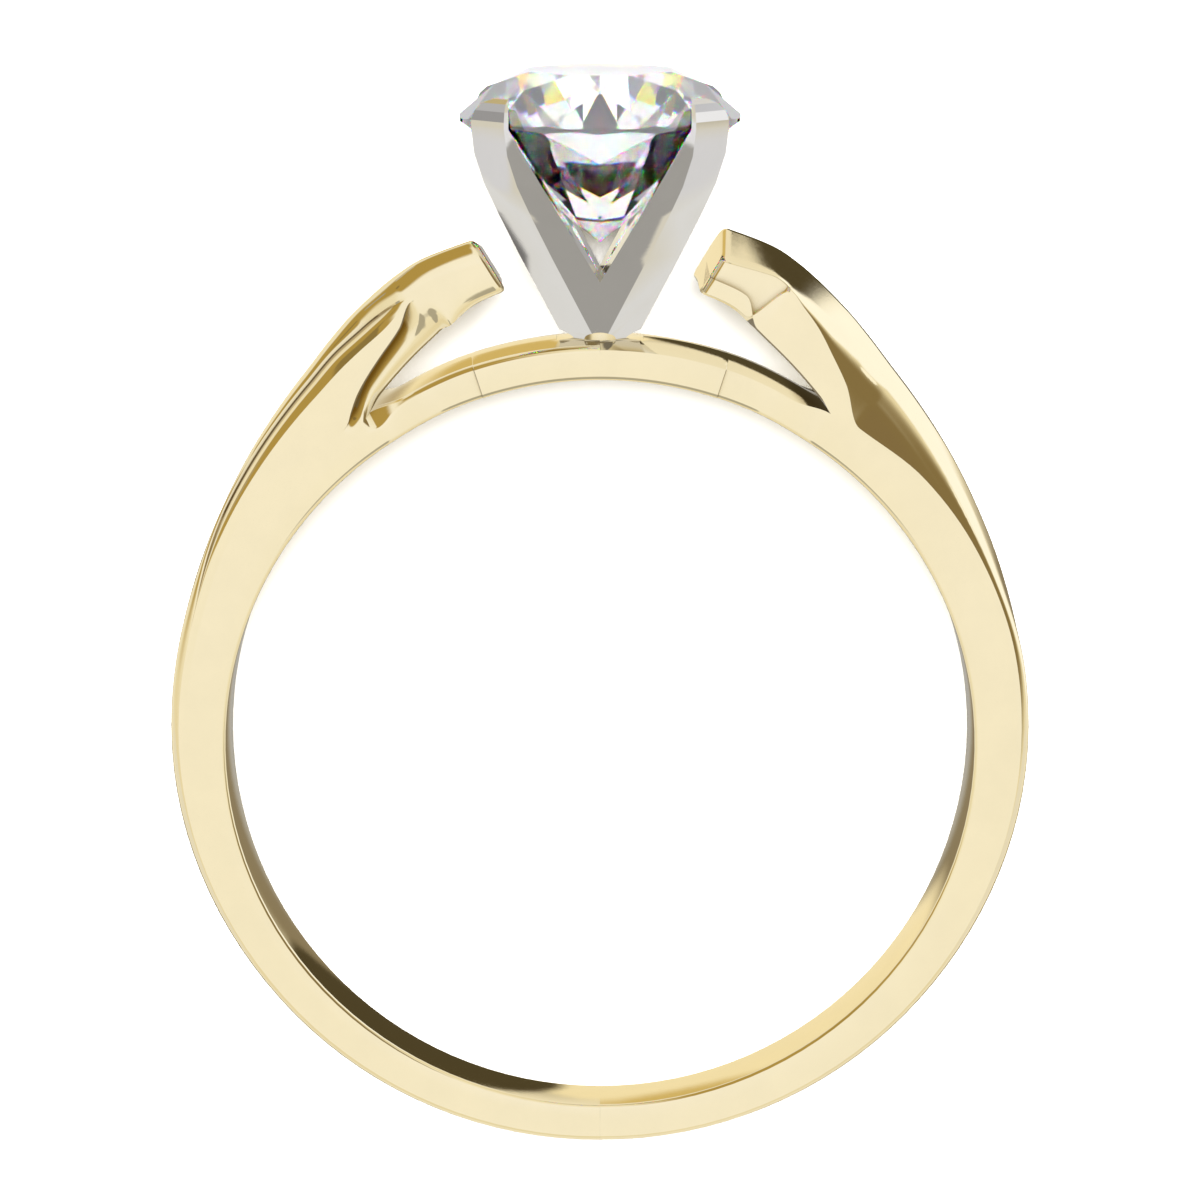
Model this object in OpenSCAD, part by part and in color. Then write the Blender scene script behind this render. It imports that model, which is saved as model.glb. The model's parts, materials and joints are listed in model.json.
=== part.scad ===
/* [Finger hole] */
// Inside diameter of the finger hole
finger_d = 17.3; // [14:0.1:22]

/* [Band] */
// Width of the band at its bottom
band_w_bottom = 1.65; // [1.2:0.05:3]
// Width of the band where the shoulders begin
band_w_side = 2.6; // [1.6:0.05:4]
// Width over both strands at the shoulder's end
shoulder_w = 3.0; // [2:0.05:4.5]
// Rounding along the edges of the finger hole
comfort_r = 0.22; // [0.1:0.01:0.35]

/* [Bridge] */
// Width of the bridge under the head
bridge_w = 2.5; // [1.6:0.05:3.5]
// Height of the bridge's crest above the finger hole
bridge_h = 0.9; // [0.7:0.01:1.4]
// Distance from the middle to the end of the raised seat
seat_half = 2.8; // [1.6:0.1:4]
// How far the seat stands proud of the bridge's side faces
seat_proud = 0.06; // [0:0.01:0.15]

/* [Shoulders] */
// Depth of the pocket that shows the lower strand
pocket_depth = 1.25; // [0.4:0.05:1.4]
// Depth of the groove along the foot of the upper strand
groove_depth = 0.3; // [0:0.05:0.5]
// Swell of the lower strand's side in the pocket
strand_swell = 0.16; // [0:0.01:0.25]
// Lean of the shoulder's cut end, from the radius to the middle
end_lean = 20; // [0:1:30]

/* [Stone] */
// Girdle diameter of the round brilliant
stone_d = 6.4; // [4:0.1:8]
// Table width over the girdle diameter
table_ratio = 0.545; // [0.5:0.005:0.65]
// Crown angle above the girdle
crown_angle = 34.5; // [30:0.5:38]
// Pavilion angle below the girdle
pavilion_angle = 40.8; // [39:0.1:43]
// Girdle thickness
girdle_t = 0.18; // [0.08:0.01:0.3]
// Height of the girdle's middle above the finger hole's middle
girdle_z = 14.5; // [12:0.1:18]

/* [Head] */
// Half width over the side faces at the foot
foot_half = 0.85; // [0.7:0.05:1.5]
// Half width over the side faces at the girdle
rim_half = 2.88; // [2:0.02:4]
// Width of a prong's outer face, along the side faces
prong_face = 0.75; // [0.4:0.05:1.2]
// Height of the prong tips above the girdle's middle
tip_rise = 0.62; // [0.4:0.02:1]
// Lowest point of the V cuts above the foot
notch_rise = 1.42; // [0.8:0.02:2.5]
// Half width of the V cuts at the girdle
notch_half = 2.03; // [1.2:0.01:2.6]
// Diameter of the peg set into the bridge
peg_d = 1; // [0.6:0.05:1.4]

/* [Hidden] */
$fn = 96;

gold = "#e6c877";
white_gold = "#c9c6c2";
diamond = "#eef3f6";

hole_r = finger_d / 2;
fit_gap = 0.03;        // clearance between the pieces
bore_stock = 0.12;     // metal inside the bore line that the bore then removes

// Outer side of the band and the left shoulder. Angles go up from the finger hole's middle plane,
// heights are above the finger hole: the rail, the back edge, and at the front the edge of the
// lower strand's flat side and the foot and brow of the upper strand.
//         angle  rail  back  flat  foot  brow
profile = [[-90,  0.94, 0.76, 0.76, 0.82, 0.88],
           [-40,  1.02, 0.84, 0.84, 0.90, 0.95],
           [0,    1.28, 1.07, 1.07, 1.14, 1.20],
           [18,   1.42, 1.18, 1.18, 1.27, 1.34],
           [30,   1.62, 1.18, 1.38, 1.50, 1.56],
           [41,   1.93, 1.13, 1.58, 1.76, 1.84],
           [52,   2.36, 0.95, 1.86, 2.12, 2.22],
           [57,   2.66, 1.60, 2.06, 2.36, 2.48],
           [60,   2.86, 1.96, 2.18, 2.47, 2.68],
           [63.5, 3.06, 2.39, 2.33, 2.62, 2.88],
           [66.7, 3.23, 2.70, 2.56, 2.74, 3.02],
           [68.7, 3.33, 2.90, 2.72, 2.79, 3.11],
           [72.5, 3.50, 3.13, 2.76, 2.92, 3.26],
           [78.5, 3.62, 3.16, 2.80, 2.98, 3.28]];

// Underside of the free strands, and the edge of the upper strand over the pocket
//        angle  underside  pocket edge
under  = [[52,   0.66, 0.86],
          [53.2, 0.66, 0.93],
          [54.5, 0.66, 1.10],
          [56.7, 0.86, 1.37],
          [61,   1.12, 1.78],
          [65.5, 1.43, 2.21],
          [69,   1.67, 2.66],
          [70.2, 1.76, 2.50],
          [71.4, 1.86, 2.28],
          [72.5, 1.96, 2.26],
          [75,   2.13, 2.40],
          [78.5, 2.26, 2.56]];

bottom_a = -90;        // bottom of the band
pocket_a = 52;         // start of the pocket
crotch_a = 54.5;       // where the bridge leaves the shoulder
end_a = 78.5;          // free end of the shoulder
top_a = 90;            // middle of the bridge

SIDE = 14;             // points on each side of a section, between crest and inner middle
SPAN = 3;              // points across the crotch
RING = 2 * SIDE + 2;

band_angles = concat([for (a = [bottom_a:6:36]) a],
                     [40, 44, 48, 50.5, pocket_a, 52.7, 53.3, 53.9, crotch_a]);
strand_angles = [55.1, 55.8, 56.7, 58.5, 60.5, 63, 65.5, 67.5, 69, 70, 70.8, 71.5, 72.5, 75, 77.4, end_a];
seat_a = 90 - asin(seat_half / (hole_r + bridge_h / 2));
bridge_angles = [55.1, 56, 57.2, 59.5, 62.5, 66, 70, seat_a - 0.25, seat_a + 0.25, 78, 82, 86, top_a];

function clamp01(u) = min(1, max(0, u));
function ease(a, from, to) = let (u = clamp01((a - from) / (to - from))) u * u * (3 - 2 * u);
function mix(p, q, u) = p + (q - p) * u;

// Smooth curve through a table's rows, without overshoot
function slope(tab, c, i) = (tab[i + 1][c] - tab[i][c]) / (tab[i + 1][0] - tab[i][0]);
function tangent(tab, c, i) =
    i == 0 ? slope(tab, c, 0) :
    i == len(tab) - 1 ? slope(tab, c, i - 1) :
    let (m = slope(tab, c, i - 1), n = slope(tab, c, i)) m * n <= 0 ? 0 : 2 * m * n / (m + n);
function row_at(tab, a, i = 0) = i >= len(tab) - 2 || a < tab[i + 1][0] ? i : row_at(tab, a, i + 1);
function at(tab, c, a) =
    let (i = row_at(tab, a), w = tab[i + 1][0] - tab[i][0], u = clamp01((a - tab[i][0]) / w))
    tab[i][c] * (1 + 2 * u) * pow(1 - u, 2) + tangent(tab, c, i) * w * u * pow(1 - u, 2)
    + tab[i + 1][c] * u * u * (3 - 2 * u) + tangent(tab, c, i + 1) * w * u * u * (u - 1);

function rail(a) = at(profile, 1, a);
function back_edge(a) = at(profile, 2, a);
function front_edge(a) = at(profile, 3, a);
function underside(a) = at(under, 1, a);
function pocket_edge(a) = at(under, 2, a);
function half_w(a) = (band_w_bottom + (band_w_side - band_w_bottom) * ease(a, -78, 24)
    + (shoulder_w - band_w_side) * ease(a, 20, 68)) / 2;
function pocket(a) = pocket_depth * ease(a, pocket_a, 55.2) * (1 - ease(a, 69.6, 71.6));
function groove(a) = groove_depth * ease(a, 10, 40) * (1 - ease(a, 66.5, 68.8));
function crest_y(a) = -1.0 * ease(a, 48, 77);

// A section's points are [height above the finger hole, place across the band].
// Rounded edge of the finger hole at one side, from the middle outwards
function hole_edge(w) =
    [[-bore_stock, w - comfort_r], [comfort_r * 0.3, w - comfort_r * 0.3], [comfort_r, w]];
function mirrored(points) = [for (p = points) [p[0], -p[1]]];

// Flat side face between the hole's edge and the edge of the outer surface
function flat_split(a, top) = mix(0.45 * top, underside(crotch_a), ease(a, 30, pocket_a));
function flat_heights(a, top) =
    let (low = mix(0.32 * top, 0.5, ease(a, 30, pocket_a)), split = flat_split(a, top))
    concat([low, split], [for (u = [0.3, 0.55, 0.8]) mix(split, top, u)]);
function back_flat(a, w) = [for (h = flat_heights(a, back_edge(a))) [h, w]];
// At the front the lower strand's swelling side lies at the pocket's depth
function pocket_side(low, p, w, d) =
    let (u = min(1, d / 0.3))
    [[mix(low, p, 0.42), -w + d - strand_swell * u], [p - 0.06, -w + d + 0.05 * u], [p, -w]];
function front_flat(a, w) =
    let (h = flat_heights(a, front_edge(a)), k = ease(a, 30, pocket_a), d = pocket(a))
    concat([[h[0], -w], [h[1], -w + d]],
           mix([for (i = [2:4]) [h[i], -w]], pocket_side(h[1], pocket_edge(a), w, d), k));

// Outer surface from each side's edge up to the crest. Below the shoulders it is a plain dome.
function dome(top, r, w) =
    [[top, w], [mix(top, r, 0.5), w - 0.06], [r - 0.06, w * 0.8],
     [r - 0.035, w * 0.66], [r - 0.015, w * 0.46], [r - 0.005, w * 0.24]];
function front_outer(a, w) =
    let (r = rail(a), f = front_edge(a), foot = at(profile, 4, a), brow = at(profile, 5, a),
         y = crest_y(a), flush = ease(a, 54, 63),
         rolls = [[f, -w], [mix(f, foot, 0.55), -w + 0.07], [foot - 0.03, -w + 0.1 + groove(a)],
                  [foot, mix(-w + 0.3, -w + 0.02, flush)], [brow, mix(-w + 0.48, -w + 0.06, flush)],
                  [mix(brow, r, 0.75), mix(-w, y, 0.66)]])
    mix(mirrored(dome(f, r, w)), rolls, ease(a, 6, 26));
function back_outer(a, w) =
    let (r = rail(a), b = back_edge(a), y = crest_y(a), t = ease(a, 60, 72),
         valley = [[b, w], [mix(b, r, mix(0.2, 0.3, t)), mix(y, w, 0.93)],
                   [mix(b, r, 0.45), mix(y, w, 0.82)], [mix(b, r, 0.7), mix(y, w, 0.62)],
                   [mix(b, r, 0.88), mix(y, w, 0.43)], [r - 0.02, mix(y, w, 0.2)]])
    mix(dome(b, r, w), valley, ease(a, 10, 30));

// Whole section of the band: front, crest, back, middle of the hole
function band_section(a) =
    let (w = half_w(a), front = concat(mirrored(hole_edge(w)), front_flat(a, w), front_outer(a, w)),
         back = concat(hole_edge(w), back_flat(a, w), back_outer(a, w)))
    concat(front, [[rail(a), crest_y(a)]], [for (i = [SIDE - 1:-1:0]) back[i]], [[-bore_stock, 0]]);

// Line across the section where the bridge and the shoulder part, from back to front
function crotch_line(a) =
    let (w = half_w(a), y = -w + pocket(a)) [for (u = [0.12, 0.5, 0.88]) [underside(a), mix(w, y, u)]];

// Section of a free strand above the crotch, then its underside from back to front
function strand_section(a) =
    let (w = half_w(a), low = underside(a), c = ease(a, crotch_a, 57.5), d = pocket(a),
         p = max(pocket_edge(a), low + 0.2), b = back_edge(a), split = low + 0.2 * c,
         outer = back_outer(a, w))
    concat([[low + 0.1 * c, -w + d]], pocket_side(low, p, w, d),
           front_outer(a, w), [[rail(a), crest_y(a)]], [for (i = [len(outer) - 1:-1:0]) outer[i]],
           [for (u = [0.8, 0.55, 0.3, 0]) [mix(split, b, u), w]],
           crotch_line(a));

// Section of the bridge: front side, domed top, back side, middle of the hole
function bridge_half(a) =
    mix(half_w(crotch_a), bridge_w / 2, ease(a, crotch_a, 66)) + (a > seat_a ? seat_proud : 0);
function bridge_section(a) =
    let (w = bridge_half(a), c = ease(a, crotch_a, 62), h0 = underside(crotch_a),
         t = mix(0.78, bridge_h, ease(a, 56, 72)), edge = mix(h0, t - 0.16, c),
         side = mix(0.5, 0.45, c),
         y = mix(-half_w(crotch_a) + pocket(crotch_a), -w + 0.03, ease(a, crotch_a, 57.5)),
         hole = hole_edge(w))
    concat(mirrored(hole),
           [[side, -w], [edge, y], [mix(h0, t - 0.04, c), mix(mix(y, w, 0.12), -w * 0.6, c)],
            [mix(h0, t, c), mix(mix(y, w, 0.5), 0, c)],
            [mix(h0, t - 0.04, c), mix(mix(y, w, 0.88), w * 0.6, c)],
            [edge, mix(w, w - 0.03, c)], [side, w], hole[2], hole[1], hole[0], [-bore_stock, 0]]);

// A section's points in space. The free strands' sections lean towards the head.
function lean(a) = end_lean * ease(a, 60, end_a);
function placed(section, a, foot = 0, tilt = 0) =
    [for (p = section)
        let (f = hole_r + foot, h = p[0] - foot)
        [-f * cos(a) - h * cos(a - tilt), p[1], f * sin(a) + h * sin(a - tilt)]];
function turned(points) = [for (p = points) [-p[0], -p[1], p[2]]];

BAND = len(band_angles);
STRAND = len(strand_angles);
BRIDGE = len(bridge_angles);
SPLIT = 4;                              // ring place of the crotch at the front
STRAND_RING = RING - 2 * SPLIT - 1 + SPAN;
BRIDGE_RING = 2 * SPLIT + 3 + SPAN;

function centre(points) = [for (i = [0:2]) [for (p = points) 1] * [for (p = points) p[i]] / len(points)];
function shrunk(points, u) = let (c = centre(points)) [for (p = points) mix(p, c, u)];
function strand_ring(a) = placed(strand_section(a), a, underside(a), lean(a));

// One half of the shank: band, crotch line, strand with its rounded end, bridge
function half_points() =
    let (strands = [for (a = strand_angles) strand_ring(a)],
         tip = shrunk(placed(strand_section(end_a), end_a + 0.5, underside(end_a), end_lean), 0.1))
    concat([for (a = band_angles) each placed(band_section(a), a)],
           placed(crotch_line(crotch_a), crotch_a),
           [for (s = strands) each s], tip, [centre(tip)],
           [for (a = bridge_angles) each placed(bridge_section(a), a)]);

CROTCH_AT = BAND * RING;
STRAND_AT = CROTCH_AT + SPAN;
TIP_AT = STRAND_AT + (STRAND + 1) * STRAND_RING;
BRIDGE_AT = TIP_AT + 1;
HALF = BRIDGE_AT + BRIDGE * BRIDGE_RING;

// Place in the point list of a ring's point, where s is the half. The halves share the rings
// at the bottom of the band and at the middle of the bridge.
function band_id(s, k, j) =
    let (n = (j + RING) % RING) s == 1 && k == 0 ? (2 * SIDE - n + RING) % RING : s * HALF + k * RING + n;
function strand_id(s, k, j) =
    let (n = (j + STRAND_RING) % STRAND_RING, upper = STRAND_RING - SPAN)
    k >= 0 ? s * HALF + STRAND_AT + k * STRAND_RING + n :
    n < upper ? band_id(s, BAND - 1, SPLIT + n) : s * HALF + CROTCH_AT + n - upper;
function bridge_id(s, k, j) =
    let (n = (j + BRIDGE_RING) % BRIDGE_RING, last = SPLIT + SPAN)
    k == BRIDGE - 1 && s == 1 ? BRIDGE_AT + k * BRIDGE_RING + (2 * BRIDGE_RING - 2 - n) % BRIDGE_RING :
    k >= 0 ? s * HALF + BRIDGE_AT + k * BRIDGE_RING + n :
    n <= SPLIT ? band_id(s, BAND - 1, n) :
    n <= last ? s * HALF + CROTCH_AT + last - n :
    band_id(s, BAND - 1, 2 * SIDE - SPLIT + n - last - 1);

function quad(a, b, c, d) = [[a, b, c], [a, c, d]];
function half_faces(s) = concat(
    [for (k = [0:BAND - 2]) for (j = [0:RING - 1])
        each quad(band_id(s, k, j), band_id(s, k, j + 1),
                  band_id(s, k + 1, j + 1), band_id(s, k + 1, j))],
    [for (k = [-1:STRAND - 1]) for (j = [0:STRAND_RING - 1])
        each quad(strand_id(s, k, j), strand_id(s, k, j + 1),
                  strand_id(s, k + 1, j + 1), strand_id(s, k + 1, j))],
    [for (j = [0:STRAND_RING - 1])
        [s * HALF + TIP_AT, strand_id(s, STRAND, j), strand_id(s, STRAND, j + 1)]],
    [for (k = [-1:BRIDGE - 2]) for (j = [0:BRIDGE_RING - 1])
        each quad(bridge_id(s, k, j), bridge_id(s, k, j + 1),
                  bridge_id(s, k + 1, j + 1), bridge_id(s, k + 1, j))]);

foot_z = hole_r + bridge_h - 0.05;
land_z = foot_z - fit_gap;
peg_depth = 0.45;

module shank() color(gold) lying() difference() {
    polyhedron(concat(half_points(), turned(half_points())), concat(half_faces(0), half_faces(1)));
    rotate([90, 0, 0]) cylinder(d = finger_d, h = 2 * shoulder_w, center = true);
    // Flat land and blind hole for the head
    translate([-1, -1, land_z]) cube([2, 2, 1]);
    translate([0, 0, land_z - peg_depth - fit_gap]) cylinder(d = peg_d + 2 * fit_gap, h = 1);
}

// Flare of the head: height above the foot as a share of the way to the girdle, and
// half width as a share of the way from foot to rim
//        height  half width
flare = [[0,    0],
         [0.2,  0.24],
         [0.4,  0.48],
         [0.6,  0.71],
         [0.74, 0.86],
         [0.88, 0.965],
         [1,    1]];
// Prong tips: height as a share of their rise, half width and face width as shares of those below
tips = [[0.25, 1.0,   1.0],
        [0.6,  0.97,  0.9],
        [0.86, 0.91,  0.7],
        [1,    0.825, 0.45]];

function octagon(s, k, z) = [for (q = [0:3]) for (p = [[s, -(s - k)], [s, s - k]])
    [p[0] * cos(90 * q) - p[1] * sin(90 * q), p[0] * sin(90 * q) + p[1] * cos(90 * q), z]];
head_rings = concat(
    [for (r = flare) octagon(mix(foot_half, rim_half, r[1]), prong_face, mix(foot_z, girdle_z, r[0]))],
    [for (r = tips) octagon(rim_half * r[1], prong_face * r[2], girdle_z + tip_rise * r[0])]);

// Rings of points joined into one closed solid, each end closed round its middle
module lofted(rings) {
    n = len(rings[0]);
    m = len(rings);
    polyhedron(
        concat([for (r = rings) each r], [centre(rings[0]), centre(rings[m - 1])]),
        concat(
            [for (k = [0:m - 2]) for (j = [0:n - 1])
                each quad(k * n + j, (k + 1) * n + j, (k + 1) * n + (j + 1) % n, k * n + (j + 1) % n)],
            [for (j = [0:n - 1]) [m * n, j, (j + 1) % n]],
            [for (j = [0:n - 1]) [m * n + 1, (m - 1) * n + (j + 1) % n, (m - 1) * n + j]]));
}

// V cut through the head, between two pairs of prongs
module v_cut() rotate([90, 0, 0]) linear_extrude(height = 4 * rim_half, center = true)
    polygon([[0, foot_z + notch_rise], [notch_half, girdle_z], [notch_half, girdle_z + 2],
             [-notch_half, girdle_z + 2], [-notch_half, girdle_z]]);

foot_arch_w = 0.72;
foot_arch_h = 0.2;

module head() color(white_gold) lying() {
    difference() {
        lofted(head_rings);
        v_cut();
        rotate([0, 0, 90]) v_cut();
        // Seat that the prongs are cut to, and the room above the crown
        rotate_extrude() polygon([[0, culet_z - 0.1], [stone_r + fit_gap, girdle_low - 0.02],
            [stone_r + fit_gap, girdle_high + 0.02], [0, girdle_high + stone_r * tan(crown_angle)]]);
        for (q = [0, 90]) rotate([0, 0, q])
            translate([-foot_arch_w / 2, -3, foot_z - 1]) cube([foot_arch_w, 6, 1 + foot_arch_h]);
    }
    translate([0, 0, land_z - peg_depth]) cylinder(d = peg_d, h = peg_depth + foot_arch_h + 0.5);
}

stone_r = stone_d / 2;
girdle_high = girdle_z + girdle_t / 2;
girdle_low = girdle_z - girdle_t / 2;
table_r = stone_r * table_ratio;
table_z = girdle_high + (stone_r - table_r) * tan(crown_angle);
culet_z = girdle_low - stone_r * tan(pavilion_angle);
star_r = mix(table_r * cos(22.5), stone_r, 0.5);
star_z = girdle_high + (stone_r - star_r * cos(22.5)) * tan(crown_angle);
lower_r = 0.23 * stone_r;
lower_z = culet_z + lower_r * cos(22.5) * tan(pavilion_angle);
function round_of(n, r, z, start = 0) =
    [for (i = [0:n - 1]) let (t = start + 360 * i / n) [r * cos(t), r * sin(t), z]];

// Round brilliant. Point rings: table 0-7, star tips 8-15, girdle 16-31 and 32-47,
// lower tips 48-55, culet 56
module center_stone() color(diamond) lying() polyhedron(
    concat(round_of(8, table_r, table_z, 22.5), round_of(8, star_r, star_z),
           round_of(16, stone_r, girdle_high), round_of(16, stone_r, girdle_low),
           round_of(8, lower_r, lower_z), [[0, 0, culet_z]]),
    concat(
        [[7, 6, 5, 4, 3, 2, 1, 0]],
        [for (i = [0:7]) let (n = (i + 1) % 8, m = 2 * i + 1, g = 16 + m, l = 32 + m)
            each [[i, n, 8 + n],                                              // star
                  [i, 8 + n, g, 8 + i],                                       // crown main
                  [8 + i, g, g - 1], [8 + n, 16 + (m + 1) % 16, g],           // upper girdle
                  [g - 1, g, l, l - 1], [g, 16 + (m + 1) % 16, 32 + (m + 1) % 16, l],
                  [48 + i, l - 1, l], [48 + n, l, 32 + (m + 1) % 16],         // lower girdle
                  [56, 48 + i, l, 48 + n]]]));                                // pavilion main

// The ring lies on its side, on the girdle's rim and on the band's lowest edge
edge_low = hole_r + front_edge(bottom_a);
rest_tilt = atan((stone_r - band_w_bottom / 2) / (girdle_low + edge_low));
floor_y = stone_r * cos(rest_tilt) - girdle_low * sin(rest_tilt);
far_y = table_z * cos(rest_tilt) + table_r * sin(rest_tilt);
near_y = (hole_r + rail(bottom_a)) * cos(rest_tilt);
module lying() translate([0, (near_y - far_y) / 2, floor_y]) rotate([rest_tilt - 90, 0, 0]) children();

shank();
head();
center_stone();
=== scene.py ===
import json
import math

import bmesh
import bpy
import numpy as np
from mathutils import Matrix, Vector


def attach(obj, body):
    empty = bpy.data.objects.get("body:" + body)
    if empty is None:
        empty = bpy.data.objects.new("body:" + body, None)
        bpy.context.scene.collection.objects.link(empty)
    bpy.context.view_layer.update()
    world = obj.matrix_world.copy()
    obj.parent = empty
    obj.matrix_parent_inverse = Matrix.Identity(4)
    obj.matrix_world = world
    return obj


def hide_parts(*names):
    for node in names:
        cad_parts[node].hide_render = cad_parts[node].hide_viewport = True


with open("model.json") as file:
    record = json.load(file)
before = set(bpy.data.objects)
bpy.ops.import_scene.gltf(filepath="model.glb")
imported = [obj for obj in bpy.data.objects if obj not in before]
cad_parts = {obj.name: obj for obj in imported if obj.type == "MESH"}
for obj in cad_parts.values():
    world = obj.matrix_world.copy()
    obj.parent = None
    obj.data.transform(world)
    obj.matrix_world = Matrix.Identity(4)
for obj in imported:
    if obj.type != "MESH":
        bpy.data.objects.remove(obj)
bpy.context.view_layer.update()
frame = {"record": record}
scene = bpy.context.scene
MM = 0.001

# The ring's own frame
# Origin in the middle of the finger hole, front along -Y, head along +Z, millimetres.
hole = next(m for m in frame["record"]["mounts"] if m["name"] == "finger_hole")
HOLE_MIDDLE = Vector(hole["pos_m"])
FRONT = Vector(hole["axis"]).normalized()
RIGHT = Vector((1, 0, 0))
HEADWARD = FRONT.cross(RIGHT).normalized()
to_world = Matrix.Translation(HOLE_MIDDLE) @ Matrix(
    [[RIGHT[i] * MM, -FRONT[i] * MM, HEADWARD[i] * MM, 0] for i in range(3)] + [[0, 0, 0, 1]])


def new_object(name, mesh):
    obj = bpy.data.objects.new(name, mesh)
    scene.collection.objects.link(obj)
    return obj


def mesh_from(name, verts, faces):
    mesh = bpy.data.meshes.new(name)
    mesh.from_pydata([tuple(v) for v in verts], [], faces)
    bm = bmesh.new()
    bm.from_mesh(mesh)
    bmesh.ops.recalc_face_normals(bm, faces=bm.faces)
    bm.to_mesh(mesh)
    bm.free()
    return mesh


def apply_modifiers(obj):
    """Replaces obj's mesh by what its modifiers make of it."""
    bpy.context.view_layer.update()
    made = bpy.data.meshes.new_from_object(obj.evaluated_get(bpy.context.evaluated_depsgraph_get()))
    obj.modifiers.clear()
    obj.data = made


def subtract(obj, cutter, solver="EXACT"):
    cut = obj.modifiers.new("cut", "BOOLEAN")
    cut.operation, cut.solver, cut.object = "DIFFERENCE", solver, cutter
    apply_modifiers(obj)
    bpy.data.objects.remove(cutter)


def cutter_from(make, size):
    """An object to subtract, made by one of bmesh's makers."""
    bm = bmesh.new()
    make(bm, **size)
    mesh = bpy.data.meshes.new("cut")
    bm.to_mesh(mesh)
    bm.free()
    return new_object("cut", mesh)


# Sizes in millimetres and degrees. The driving sizes of the finger hole, band, bridge, stone and head and
# the rows of PROFILE, FLARE and TIPS are the part's own. COMFORT_R, POCKET_DEPTH and CROTCH_A differ from
# the part's source, and so do most rows of UNDER. The groove and swell at the pocket and the arches at the
# head's foot are drawn in another way here. The peg isn't drawn, only its blind hole in the shank.
HOLE_R = 8.65
BAND_W_BOTTOM, BAND_W_SIDE, SHOULDER_W = 1.65, 2.6, 3.0
COMFORT_R = 0.1
BRIDGE_W, BRIDGE_H, SEAT_HALF, SEAT_PROUD = 2.5, 0.9, 2.8, 0.06
POCKET_DEPTH, POCKET_LIFT, CROWN, BACK_STEP, BACK_SLOPE = 0.42, 0.04, 0.03, 0.14, 72
STRAND_DROP, RIM_ROUND = 0.42, 0.55
END_LEAN, END_SKEW, END_ROUND, END_INSET = 20, 0.06, 0.6, 0.24
STONE_R, TABLE_RATIO, CROWN_ANGLE, PAVILION_ANGLE = 3.2, 0.545, 34.5, 40.8
GIRDLE_T, GIRDLE_Z, LOWER_FACET_SHARE = 0.18, 14.5, 0.23
FOOT_HALF, RIM_HALF, PRONG_FACE, TIP_RISE = 0.85, 2.88, 0.75, 0.62
NOTCH_RISE, NOTCH_HALF = 1.42, 2.03
NOTCH_REACH, ARCH_R, ARCH_SQUASH, HEAD_BEVEL = 6, 0.36, 0.56, 0.05
PEG_R, PEG_DEPTH, FIT_GAP, LAND_DROP = 0.5, 0.45, 0.03, 0.05
FOOT_Z = HOLE_R + BRIDGE_H - LAND_DROP
LAND_Z = FOOT_Z - FIT_GAP

#          angle  rail  back  flat  foot
PROFILE = [[-90, 0.94, 0.76, 0.76, 0.82],
           [-40, 1.02, 0.84, 0.84, 0.90],
           [0, 1.28, 1.07, 1.07, 1.14],
           [18, 1.42, 1.18, 1.18, 1.27],
           [30, 1.62, 1.18, 1.38, 1.50],
           [41, 1.93, 1.13, 1.58, 1.76],
           [52, 2.36, 0.95, 1.86, 2.12],
           [57, 2.66, 1.60, 2.06, 2.36],
           [60, 2.86, 1.96, 2.18, 2.47],
           [63.5, 3.06, 2.39, 2.33, 2.62],
           [66.7, 3.23, 2.70, 2.56, 2.74],
           [68.7, 3.33, 2.90, 2.72, 2.79],
           [72.5, 3.50, 3.13, 2.76, 2.92],
           [78.5, 3.62, 3.16, 2.80, 2.98]]
#        angle  underside  pocket edge
UNDER = [[52, 0.66, 0.86],
         [53.2, 0.67, 0.93],
         [54.5, 0.71, 1.10],
         [56.5, 0.84, 1.35],
         [58.5, 0.97, 1.55],
         [61, 1.13, 1.78],
         [65.5, 1.43, 2.21],
         [68.7, 1.65, 2.68],
         [71.4, 1.86, 2.72],
         [75, 2.13, 2.74],
         [78.5, 2.26, 2.78]]
#       angle  turn of the back slope
TURN = [[0, 1.12],
        [20, 1.26],
        [30, 1.42],
        [41, 1.66],
        [52, 1.98],
        [57, 2.22],
        [60, 2.38],
        [63.5, 2.60],
        [66.7, 2.80],
        [70, 3.02],
        [78.5, 3.22]]
BOTTOM_A, POCKET_A, CROTCH_A, KNUCKLE_A, END_A, TOP_A = -90, 52, 56.5, 71.4, 78.5, 90


def ease(a, lo, hi):
    u = min(1.0, max(0.0, (a - lo) / (hi - lo)))
    return u * u * (3 - 2 * u)


def mix(p, q, u):
    return p + (q - p) * u


def at(table, column, a):
    """Smooth curve through a table's rows, without overshoot."""
    x = [row[0] for row in table]
    y = [row[column] for row in table]
    i = max(0, min(len(x) - 2, sum(a >= v for v in x) - 1))

    def slope(k):
        return (y[k + 1] - y[k]) / (x[k + 1] - x[k])

    def tangent(k):
        if k == 0:
            return slope(0)
        if k == len(x) - 1:
            return slope(k - 1)
        m, n = slope(k - 1), slope(k)
        return 0 if m * n <= 0 else 2 * m * n / (m + n)

    w = x[i + 1] - x[i]
    u = min(1.0, max(0.0, (a - x[i]) / w))
    return (y[i] * (1 + 2 * u) * (1 - u) ** 2 + tangent(i) * w * u * (1 - u) ** 2
            + y[i + 1] * u * u * (3 - 2 * u) + tangent(i + 1) * w * u * u * (u - 1))


def rail(a):
    return at(PROFILE, 1, a)


def back_edge(a):
    return at(PROFILE, 2, a)


def front_edge(a):
    return at(PROFILE, 3, a)


def foot(a):
    return at(PROFILE, 4, a)


def underside(a):
    return at(UNDER, 1, a)


def pocket_edge(a):
    return at(UNDER, 2, a)


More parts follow.
